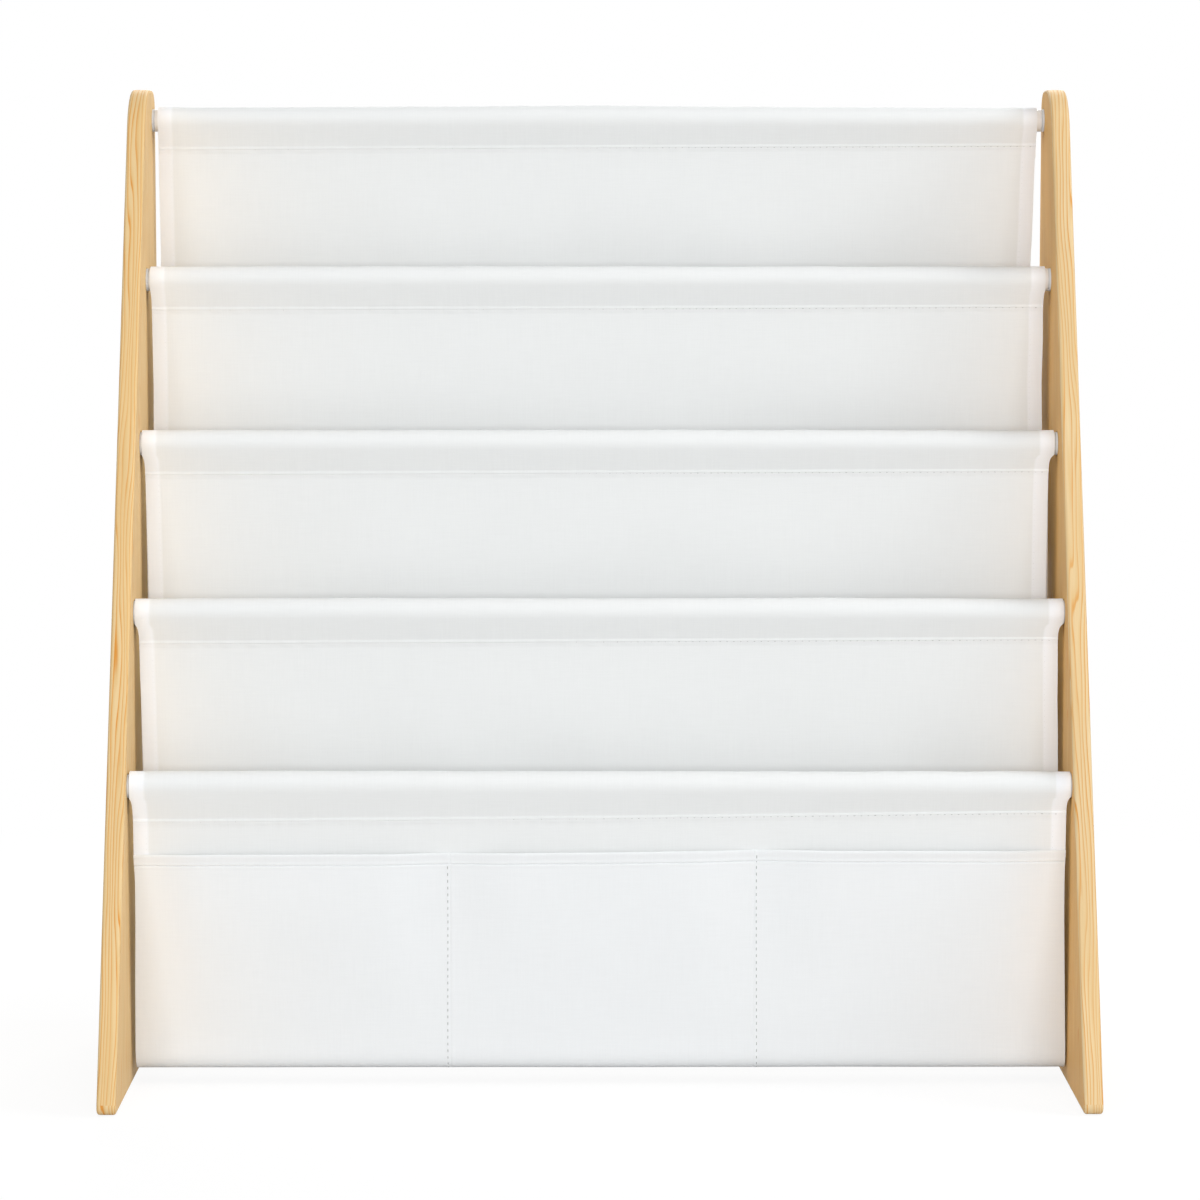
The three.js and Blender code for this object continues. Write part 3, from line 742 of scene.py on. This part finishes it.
class Strip:
    """One sling's share of the long strip of cloth, as a grid of its middle surface.

    Seen from the side its line runs from behind the upper rod's seam over the rod to the seam in
    front, down the wall, round the bend and up to the lower rod. Each leg is a straight line or an
    arc, and the whole line is softened by a Gaussian along its length. Across, a point lies at
    its column's share of the half width. Waves, seam ridges and hems move it along the line's
    normal."""

    def __init__(self, cloth, rods, number):
        self.cloth, self.number, self.last = cloth, number, number == 4
        self.upper, self.lower = rods[number - 1], rods[number]
        self.columns = column_places(EDGE_X)
        drop, lower_drop = seam_drop(0, number - 1), seam_drop(0, number)
        base = self.line(drop, lower_drop)
        self.s = base[:, 2]
        grid = base[:, None]
        # A seam that lies lower moves the line as one that lies 1 mm lower does, in proportion
        for rod, moved in ((number - 1, self.line(drop + 1, lower_drop)),
                           (number, self.line(drop, lower_drop + 1))):
            share = seam_drop(self.columns, rod) - seam_drop(0, rod)
            grid = grid + (moved - base)[:, None] * share[None, :, None]
        self.y, self.z, self.travel = np.moveaxis(grid, -1, 0)

    def line(self, drop, lower_drop):
        """Rows of depth, height and distance along the strip, for these seam drops."""
        cloth, upper, lower = self.cloth, self.upper, self.lower
        radius = TUBE_RADIUS + (cloth.rod_gap + cloth.thickness / 2) / MM
        apart = 0.5 * cloth.thickness / MM + 0.1
        bend = cloth.bend_radius / MM
        bend_y, bend_z = (upper[0] + lower[0]) / 2, lower[1] - cloth.bag_drop / MM + bend
        seam, lower_seam = (np.array([rod[0] + apart, rod[1] + TUBE_RADIUS - fall])
                            for rod, fall in ((upper, drop), (lower, lower_drop)))
        behind, over, front = sleeve(upper, radius, apart, drop)
        wall_top, wall_foot = front[-1], np.array([bend_y + bend, bend_z])
        wall_start = wall_top + SEAM_REACH * unit(wall_foot - wall_top)
        rise_foot = np.array([bend_y - bend, bend_z])
        legs = {
            "tail": straight(seam - (0, FIRST_TAIL if self.number == 1 else TAIL), behind[0]),
            "behind": behind,
            "over": over,
            "front": front,
            "seam": straight(wall_top, wall_start),
            "wall": straight(wall_start, wall_foot),
            "bend": fold((bend_y, bend_z), bend, bend - FLATTER),
        }
        if not self.last:
            return self.rows_of({**legs, "rise": straight(rise_foot, lower_seam)})
        behind, over, front = sleeve(lower, radius, apart, lower_drop)
        rise_end = front[-1] + SEAM_REACH * unit(rise_foot - front[-1])
        return self.rows_of({
            **legs,
            "rise": straight(rise_foot, rise_end),
            "front seam": straight(rise_end, front[-1]),
            "front up": front[::-1],
            "over back": over[::-1],
            "behind down": behind[::-1],
            "end": straight(behind[0], lower_seam - (0, FIRST_TAIL)),
        })

    def rows_of(self, legs):
        """Puts the rows on the legs. A leg's rows are even, or close up towards its ends."""
        marks, travel = {}, 0.0
        for name, leg in legs.items():
            size = np.linalg.norm(np.diff(leg, axis=0), axis=1).sum()
            marks[name] = (travel, travel + size)
            travel += size
        self.marks = marks
        dense = np.concatenate([leg[1:] if i else leg for i, leg in enumerate(legs.values())])
        gone = distances(dense)
        step, reach, softness = 0.1, 25, 0.7
        even = np.arange(0, gone[-1] + step / 2, step)
        fine = np.stack([np.interp(even, gone, dense[:, i]) for i in (0, 1)], axis=1)
        kernel = np.exp(-0.5 * (np.arange(-reach, reach + 1) * step / softness) ** 2)
        kernel /= kernel.sum()
        before = fine[0] + (fine[0] - fine[1]) * np.arange(reach, 0, -1)[:, None]
        after = fine[-1] + (fine[-1] - fine[-2]) * np.arange(1, reach + 1)[:, None]
        padded = np.concatenate([before, fine, after])
        places = []
        for name, (start, end) in marks.items():
            t = np.linspace(0, 1, LEG_ROWS[name] + 1)
            if name in ("wall", "rise"):
                t = (1 - np.cos(math.pi * t)) / 2 * 0.75 + t * 0.25
            elif name == "front":
                t = 1 - (1 - t) ** 1.6
            elif name == "front up":
                t = t ** 1.6
            places.append(start + (end - start) * t[1 if places else 0:])
        places = np.concatenate(places)
        soft = [np.interp(places, even, np.convolve(padded[:, i], kernel, mode="valid"))
                for i in (0, 1)]
        return np.stack([*soft, places], axis=1)

    def half_widths(self, side):
        """Half the width along the rows, left (0) or right (1). The walls follow their measured
        widths. A sleeve is wide down to the lower side of its rod, and its extra width fades from
        there as exp(-d / FADE) with the distance d in millimetres."""
        m, number = self.marks, self.number
        wall, below = WALL_WIDTHS[number - 1], WALL_WIDTHS[number]
        width = np.interp(self.s - m["front"][1], wall[0], wall[1 + side])
        if self.last:
            climb = np.interp(m["front seam"][1] - self.s, below[0], below[1 + side])
        else:
            climb = np.interp(self.s, m["rise"], (wall[1 + side][-1], below[1 + side][0]))
        mix = smoothstep(self.s, *m["bend"])
        width = width * (1 - mix) + climb * mix
        for leg, rod, edge in (("over", number - 1, wall), ("over back", number, below)):
            if leg in m:
                middle = sum(m[leg]) / 2
                past = np.abs(self.s - middle) - (m[leg][1] - middle) - SLEEVE_END
                extra = SLEEVE_WIDTHS[rod][side] - edge[1 + side][0]
                width += extra * np.exp(-np.maximum(past, 0) / FADE)
        return width[:, None]

    def off_rod(self, x, leg, rod):
        """How far the cloth stands off a rod: its slack with soft waves, most at the top."""
        away = np.abs(self.s - sum(self.marks[leg]) / 2)[:, None]
        slack = np.interp(x, *np.array(ROD_SLACK[rod]).T)
        ripple = 0.12 * (1 - smoothstep(away, 10, 26)) * waves(x, self.s[:, None], 61 + rod, 90, 25)
        return slack * (1 - smoothstep(away, 2, 15)) + np.maximum(ripple, -0.1 - slack)

    def grid(self):
        """The middle surface, half its thickness, how far its layers are doubled, and the map."""
        cloth, m, s = self.cloth, self.marks, self.s[:, None]
        share = (self.columns / EDGE_X)[None, :]
        width = np.where(share < 0, self.half_widths(0), self.half_widths(1))
        x = share * width
        edge = width - np.abs(x)
        tangent_y, tangent_z = np.gradient(self.y, axis=0), np.gradient(self.z, axis=0)
        size = np.hypot(tangent_y, tangent_z)
        normal_y, normal_z = tangent_z / size, -tangent_y / size
        below = s - m["front"][1]
        push = seam_relief(below, x, self.number)
        away = smoothstep(below, 6, 60) * (1 - smoothstep(s, m["bend"][0] - 20, m["bend"][1]))
        push = push + cloth.wrinkle / MM * away * waves(x, s, 40 + self.number, 260, 70)
        push = push + self.off_rod(x, "over", self.number - 1)
        if self.last:
            push = push - seam_relief(m["front seam"][1] - s, x, 5)
            up = smoothstep(s, m["bend"][1], m["bend"][1] + 40) * (
                1 - smoothstep(s, m["rise"][1] - 20, m["rise"][1]))
            push = push - 0.4 * up * waves(x, s, 71, 200, 60)
            push = push - self.off_rod(x, "over back", 4)
        hem_width = cloth.hem_width / MM
        hem = 1 - smoothstep(edge, hem_width - 1.1, hem_width + 0.9)
        points = np.stack([x, self.y + normal_y * push, self.z + normal_z * push], axis=-1) * MM
        half = cloth.thickness / 2 * (1 + 0.3 * hem)
        return points, half, hem, np.stack([x, self.travel], axis=-1)


def column_places(edge):
    """Places of the columns across the cloth, closer together at the side hems."""
    middle = np.linspace(-edge + 13, edge - 13, 231)
    side = edge - np.array([0, 0.35, 0.8, 1.6, 3, 5, 7, 8.4, 9, 9.5, 10, 11.2])
    return np.concatenate([-side, middle, side[::-1]])


def pocket_columns(edge):
    """Places of the columns across the pockets, closer together at both upright seams."""
    fine = np.array([0, 0.2, 0.4, 0.65, 0.95, 1.4, 2, 2.8, 4])
    places = [np.linspace(-edge, edge, 221), [-edge + 0.4, edge - 0.4, -edge + 1.0, edge - 1.0]]
    for seam in POCKET_SEAMS:
        places += [seam + fine, seam - fine[1:]]
    places = np.unique(np.round(np.concatenate(places), 4))
    return places[np.concatenate([[True], np.diff(places) > 0.12])]


def straight(start, end, count=160):
    """A straight leg from start to end."""
    return np.linspace(start, end, count)


def fold(centre, radius, depth, count=320):
    """The lower half of the superellipse |y / radius|^7 + |z / depth|^7 = 1, front to back: the
    cloth was pressed flat in its packing, and turns mostly at two creases along the bottom."""
    angle, exponent = np.linspace(0, math.pi, count), 2 / 7
    across = np.sign(np.cos(angle)) * np.abs(np.cos(angle)) ** exponent
    down = np.sin(angle) ** exponent
    return np.stack([centre[0] + radius * across, centre[1] - depth * down], axis=1)


def sleeve(rod, radius, apart, drop, count=320):
    """The sleeve round a rod, from its seam behind to its seam in front: a tangent up to the
    circle, the arc over the rod, and a tangent down again. The seam lies drop below the top of
    the rod."""
    depth = drop - TUBE_RADIUS
    start = math.atan2(-depth, apart) + math.acos(radius / math.hypot(apart, depth))
    angle = np.linspace(start, math.pi - start, count)
    over = np.stack([rod[0] + radius * np.cos(angle), rod[1] + radius * np.sin(angle)], axis=1)
    return (straight((rod[0] + apart, rod[1] - depth), over[0]), over,
            straight(over[-1], (rod[0] - apart, rod[1] - depth)))


def seam_relief(below, x, number):
    """Height of the cloth near a sewn seam, in millimetres, at a distance below it: a step up just
    above the stitches, a short fall at them and a long one under them. Small puckers, 6 to 12 mm
    apart along the seam, fade out within a centimetre of it."""
    puckers = waves(x, 0, 80 + number, 13, 5)
    rise = smoothstep(below, -2.0, -0.5)
    fall = 0.4 * smoothstep(below, -0.5, 0.35) + 0.6 * smoothstep(below, 0.35, 3.6)
    fade = np.exp(-np.abs(below) / 5) * smoothstep(np.abs(below), 0, 2)
    return SEAM_STEP * rise * (1 - fall) * (1 + 0.2 * puckers) + PUCKER * fade * puckers


def closed_sheet(name, points, half, layers, flat):
    """A closed sheet from its middle surface: both faces lie half the thickness off it along its
    normal, from the cross product of its two directions, and a rim joins them. Faces point out."""
    rows, columns = points.shape[:2]
    normal = unit(np.cross(np.gradient(points, axis=1), np.gradient(points, axis=0)))
    outer, inner = points - normal * half[..., None], points + normal * half[..., None]
    count = rows * columns
    quads = grid_quads(rows, columns)
    numbers = np.arange(count).reshape(rows, columns)
    rim = np.concatenate([numbers[0], numbers[1:, -1], numbers[-1, -2::-1], numbers[-2:0:-1, 0]])
    ahead = np.roll(rim, -1)
    sides = np.stack([ahead, ahead + count, rim + count, rim], axis=1)
    faces = np.concatenate([quads[:, ::-1], quads + count, sides])
    both = [np.concatenate([part.reshape(count, -1)] * 2) for part in (flat, layers)]
    piece = make_mesh(name, np.concatenate([outer.reshape(-1, 3), inner.reshape(-1, 3)]), [faces],
                      uv=both[0][faces], share=both[1], sharp_angle=50)
    return piece, outer, inner, normal


def sample(grid, row, column):
    """Values of a grid at fractional rows and columns, straight between its points."""
    r, c = np.floor(row).astype(int), np.floor(column).astype(int)
    r, c = np.clip(r, 0, grid.shape[0] - 2), np.clip(c, 0, grid.shape[1] - 2)
    fr, fc = (row - r)[..., None], (column - c)[..., None]
    top = grid[r, c] * (1 - fc) + grid[r, c + 1] * fc
    low = grid[r + 1, c] * (1 - fc) + grid[r + 1, c + 1] * fc
    return top * (1 - fr) + low * fr


def thread_row(surface, normal, rows, columns, pitch, sewing):
    """Stitches along a line on a surface, given as fractional rows and columns: their ends, the way
    out of the cloth, and how tight they lie. They are one pitch apart along the line, and each
    shows the sewing's share of a pitch. The tightness changes smoothly from its left value to its
    right one, from 60 mm left of the middle to 80 mm right of it."""
    (tight_left, tight_right), share = sewing
    rows, columns = np.broadcast_arrays(rows, columns)
    gone = distances(sample(surface, rows, columns))
    starts = np.arange(pitch * 0.3, gone[-1] - pitch, pitch)
    at = np.interp(np.stack([starts, starts + pitch * share], axis=1), gone, np.arange(len(rows)))
    row, column = (np.interp(at, np.arange(len(rows)), line) for line in (rows, columns))
    ends = sample(surface, row, column)
    facing = unit(sample(normal, row.mean(axis=1), column.mean(axis=1)))
    towards_right = smoothstep(ends[:, 0, 0], -0.06, 0.08)
    return ends, facing, tight_left + (tight_right - tight_left) * towards_right


def sew(name, lines, cloth):
    """A piece of short threads, each a closed spindle between its two ends: six points round each
    of five rings, whose radius follows the root of a half sine so that the ends are blunt. The
    middle of a thread lifts off the cloth and its ends sink in. How tight a thread lies is the
    share of its radius by which it lies deeper."""
    ends, normals, tight = (np.concatenate(part) for part in zip(*lines))
    start, along, radius = ends[:, 0], ends[:, 1] - ends[:, 0], cloth.thread_radius
    size = np.linalg.norm(along, axis=1, keepdims=True)
    along = along / size
    side = unit(np.cross(along, normals))
    out = np.cross(side, along)
    places = np.array([0.02, 0.2, 0.5, 0.8, 0.98])
    swell = np.sin(math.pi * places)
    lift = radius * (1.5 * swell[None] - 0.9 - tight[:, None])
    angle = 2 * math.pi * np.arange(6) / 6
    centre = start[:, None] + along[:, None] * (size[:, None] * places[None, :, None])
    centre = centre + out[:, None] * lift[:, :, None]
    ring = (side[:, None, None] * np.cos(angle)[None, None, :, None]
            + out[:, None, None] * np.sin(angle)[None, None, :, None])
    points = centre[:, :, None] + ring * (radius * np.sqrt(swell))[None, :, None, None]
    first = np.arange(len(start))[:, None, None] * 30
    caps = np.array([[5, 4, 3, 2, 1, 0], [24, 25, 26, 27, 28, 29]])
    faces = [(part[None] + first).reshape(-1, part.shape[1])
             for part in (grid_quads(5, 6, wrap=True), caps)]
    piece = make_mesh(name, points.reshape(-1, 3), faces, sharp_angle=80)
    dress(piece, sewing_thread_polyester, cloth, "white_canvas")
    return piece


class BOOKSHELF_OT_slings(bpy.types.Operator):
    """Four slings of one long strip of cloth, with their sleeves, side hems, seams and stitches"""
    bl_idname = "bookshelf.slings"
    bl_label = "Slings"

    def execute(self, context):
        cloth = context.scene.bookshelf_cloth
        pitch, rods = cloth.stitch_pitch, [np.array(centre_of(name)) / MM for name in ROD_NAMES]
        for number in range(1, 5):
            strip = Strip(cloth, rods, number)
            m, s = strip.marks, strip.s
            points, half, hem, flat = strip.grid()
            # normal points to the rods' side of the cloth, so the shown side is against it
            piece, outer, inner, normal = closed_sheet(f"sling_cloth_{number}", points, half, hem,
                                                       flat)
            dress(piece, woven_polyester_canvas, cloth, "white_canvas", f"sling_{number}")
            wide = np.linspace(0.8, len(strip.columns) - 1.8, 400)
            lines = [thread_row(outer, -normal, place_in(s, place), wide, pitch, SEAM_SEWING)
                     for place in (m["front"][1] + 0.1, m["behind"][0])]
            down = np.linspace(place_in(s, m["wall"][0] + 1), place_in(s, m["rise"][1] - 1), 500)
            for x in (-EDGE_X + HEM_LINE, EDGE_X - HEM_LINE):
                column = place_in(strip.columns, x)
                lines += [thread_row(face, away, down, column, pitch * 0.8, HEM_SEWING)
                          for face, away in ((outer, -normal), (inner, normal))]
            if strip.last:
                lines.append(thread_row(inner, normal, place_in(s, m["front seam"][1]), wide, pitch,
                                        SEAM_SEWING))
                BOOKSHELF_OT_pockets.wall = (strip, points, normal)
            sewing = sew(f"sling_stitches_{number}", lines, cloth)
        return {"FINISHED"}


class BOOKSHELF_OT_pockets(bpy.types.Operator):
    """Three flat front pockets of one cloth, hemmed at the top and sewn down by two seams"""
    bl_idname = "bookshelf.pockets"
    bl_label = "Front pockets"

    wall = None

    def execute(self, context):
        cloth = context.scene.bookshelf_cloth
        if self.wall is None:
            raise RuntimeError("the slings are made before the pockets")
        strip, points, outward = self.wall
        m, columns = strip.marks, pocket_columns(EDGE_X)
        source = place_in(strip.columns, columns)
        # Rows from under the bend to the hemmed edge, closer together at the hem
        edge_z = strip.lower[1] - cloth.pocket_drop / MM
        front = (strip.s > m["bend"][1]) & (strip.s < m["rise"][1])
        top = np.interp(edge_z, strip.z[front, len(strip.columns) // 2], strip.s[front])
        hem_width = cloth.pocket_hem / MM
        s = np.concatenate([np.linspace(sum(m["bend"]) / 2, top - 12, 56)[:-1],
                            top - np.linspace(12, 0, 76)])
        # Along the width the edge lies at its own height, wherever the strip's rows lie there
        top_row = np.full(len(columns), place_in(strip.s, top))
        height = sample(strip.z[..., None], top_row, source)[..., 0]
        shift = height - edge_z + np.interp(columns, *np.array(POCKET_EDGE).T)
        rows_s = s[:, None] - shift[None, :] * smoothstep(s, top - 60, top - 20)[:, None]
        row, column = np.broadcast_arrays(place_in(strip.s, rows_s), source)
        base, facing = sample(points, row, column), unit(sample(outward, row, column))
        x, s = base[..., 0] / MM, s[:, None]
        rise = smoothstep(s, m["bend"][1] - 10, m["bend"][1] + 100)
        seams = [-EDGE_X, *POCKET_SEAMS, EDGE_X]
        share = np.zeros(len(columns))
        for left, right in zip(seams[:-1], seams[1:]):
            across = (columns - left) / (right - left)
            share += smoothstep(np.minimum(across, 1 - across), 0, 0.22)
        below = top - s
        # The pockets lie on the sling and bulge between their seams
        push = POCKET_LAYER + cloth.pocket_bulge / MM * rise * share
        push = push + 0.5 * share * waves(x, s, 90, 220, 60) * rise
        # Rolled fold along the edge, the hem's stitch groove and the ridge under it
        edge_roll = 0.18 + 0.6 * smoothstep(below, 0, 0.9) - 0.5 * smoothstep(below, 1.2, 5.0)
        groove = bell(below, hem_width, 0.42)
        ridges = 0.06 * bell(below, hem_width - 1.3, 0.7) + 0.1 * bell(below, hem_width + 1.3, 0.8)
        puckers = waves(x, 0, 97, 16, 6) * np.exp(-np.abs(below - hem_width) / 4)
        push = push + edge_roll - groove + ridges + 0.06 * puckers
        for seam in POCKET_SEAMS:
            apart = np.abs(x - seam)
            push = push - 0.26 * bell(apart, 0, 0.5) + 0.12 * bell(apart, 1.4, 0.8)
            push = push + 0.1 * waves(0, s, 99, 16, 6) * np.exp(-apart / 5)
        grid = base + facing * (push * MM)[..., None]
        hem = 1 - smoothstep(below, hem_width - 0.4, hem_width + 0.4)
        half = cloth.thickness / 2 * (1 + 0.45 * hem)
        flat = np.stack([x, rows_s], axis=-1) + POCKET_MAP
        layers = np.full_like(x, POCKET_SHARE)
        piece, _, shown, normal = closed_sheet("pocket_cloth", grid, half, layers, flat)
        dress(piece, woven_polyester_canvas, cloth, "white_canvas", *POCKET_NODES)
        pitch, hem_row = cloth.stitch_pitch, place_in(s[:, 0], top - hem_width)
        wide, up = np.linspace(0.8, len(columns) - 1.8, 500), np.linspace(0.5, len(s) - 5, 400)
        lines = [thread_row(shown, normal, hem_row, wide, pitch * 0.62, POCKET_HEM_SEWING)]
        lines += [thread_row(shown, normal, up, place_in(columns, seam), pitch, POCKET_SEAM_SEWING)
                  for seam in POCKET_SEAMS]
        sewing = sew("pocket_stitches", lines, cloth)
        return {"FINISHED"}


# ---- Stage ----

# The camera's place, and its turns in degrees: down from level, and to the right
CAMERA_PLACE, CAMERA_DOWN, CAMERA_RIGHT = (-0.01070, -2.6294, 0.5695), 5.7646, 0.2446
# The middle of the object, which every lamp looks at, half the floor's size, and how far the floor
# lies under the feet
MIDDLE, FLOOR_REACH, FLOOR_GAP = (0, 0, 0.33), 8.0, 0.0003


class BOOKSHELF_OT_stage(bpy.types.Operator):
    """Camera at the front, lamps on four sides of the object, a white room and a floor"""
    bl_idname = "bookshelf.stage"
    bl_label = "Stage"

    def execute(self, context):
        stage, scene = context.scene.bookshelf_stage, context.scene
        camera_data = bpy.data.cameras.new("front_camera")
        camera_data.lens, camera_data.sensor_width = stage.lens, 36.0
        camera = bpy.data.objects.new("front_camera", camera_data)
        camera.location = CAMERA_PLACE
        camera.rotation_euler = (math.radians(90 - CAMERA_DOWN), 0, math.radians(-CAMERA_RIGHT))
        scene.collection.objects.link(camera)
        scene.camera = camera
        # Name, power, width, height and place
        for name, energy, width, height, place in (
                ("top_lamp", stage.top_power, 1.6, 1.6, (0.0, -0.05, 3.53)),
                ("side_lamp", stage.side_power, 1.2, 1.2, (2.61, -0.23, 2.17)),
                ("front_lamp", stage.front_power, 3.2, 1.2, (0.0, -3.15, 0.89)),
                ("back_lamp", stage.back_power, 1.6, 1.6, (0.0, 2.62, 2.17))):
            data = bpy.data.lights.new(name, "AREA")
            data.shape, data.size, data.size_y, data.energy = "RECTANGLE", width, height, energy
            lamp = bpy.data.objects.new(name, data)
            towards = unit(np.array(MIDDLE) - np.array(place))
            lamp.location = place
            lamp.rotation_euler = (math.acos(-towards[2]), 0, math.atan2(-towards[0], towards[1]))
            scene.collection.objects.link(lamp)
        corners = np.array([[-1, -1, 0], [1, -1, 0], [1, 1, 0], [-1, 1, 0]]) * FLOOR_REACH
        floor = make_mesh("studio_floor", corners - (0, 0, FLOOR_GAP), [np.arange(4)[None]])
        floor.data.materials.append(material_of(matt_studio_floor, stage))
        scene.world = fill_tree(bpy.data.worlds.new("white_room"), white_room, stage, "OutputWorld")
        scene.view_settings.view_transform = "Standard"
        return {"FINISHED"}


class BOOKSHELF_PT_panel(bpy.types.Panel):
    """Lists the pieces of the bookshelf and their sizes and colours"""
    bl_idname = "BOOKSHELF_PT_panel"
    bl_label = "Sling bookshelf"
    bl_space_type = "VIEW_3D"
    bl_region_type = "UI"
    bl_category = "Bookshelf"

    def draw(self, context):
        for operator in OPERATORS:
            self.layout.operator(operator.bl_idname)
        for name, group in SETTINGS.items():
            box = self.layout.box()
            for prop in group.__annotations__:
                box.prop(getattr(context.scene, name), prop)


OPERATORS = (
    BOOKSHELF_OT_stage,
    BOOKSHELF_OT_side_panels,
    BOOKSHELF_OT_rods,
    BOOKSHELF_OT_end_plugs,
    BOOKSHELF_OT_bolts,
    BOOKSHELF_OT_slings,
    BOOKSHELF_OT_pockets,
)
CLASSES = (*SETTINGS.values(), *OPERATORS, BOOKSHELF_PT_panel)


def register():
    for item in CLASSES:
        bpy.utils.register_class(item)
    for name, group in SETTINGS.items():
        setattr(bpy.types.Scene, name, PointerProperty(type=group))


def unregister():
    for name in SETTINGS:
        delattr(bpy.types.Scene, name)
    for item in reversed(CLASSES):
        bpy.utils.unregister_class(item)


def main():
    """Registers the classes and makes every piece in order."""
    register()
    for operator in OPERATORS:
        group, name = operator.bl_idname.split(".")
        getattr(getattr(bpy.ops, group), name)()


if __name__ == "__main__":
    main()
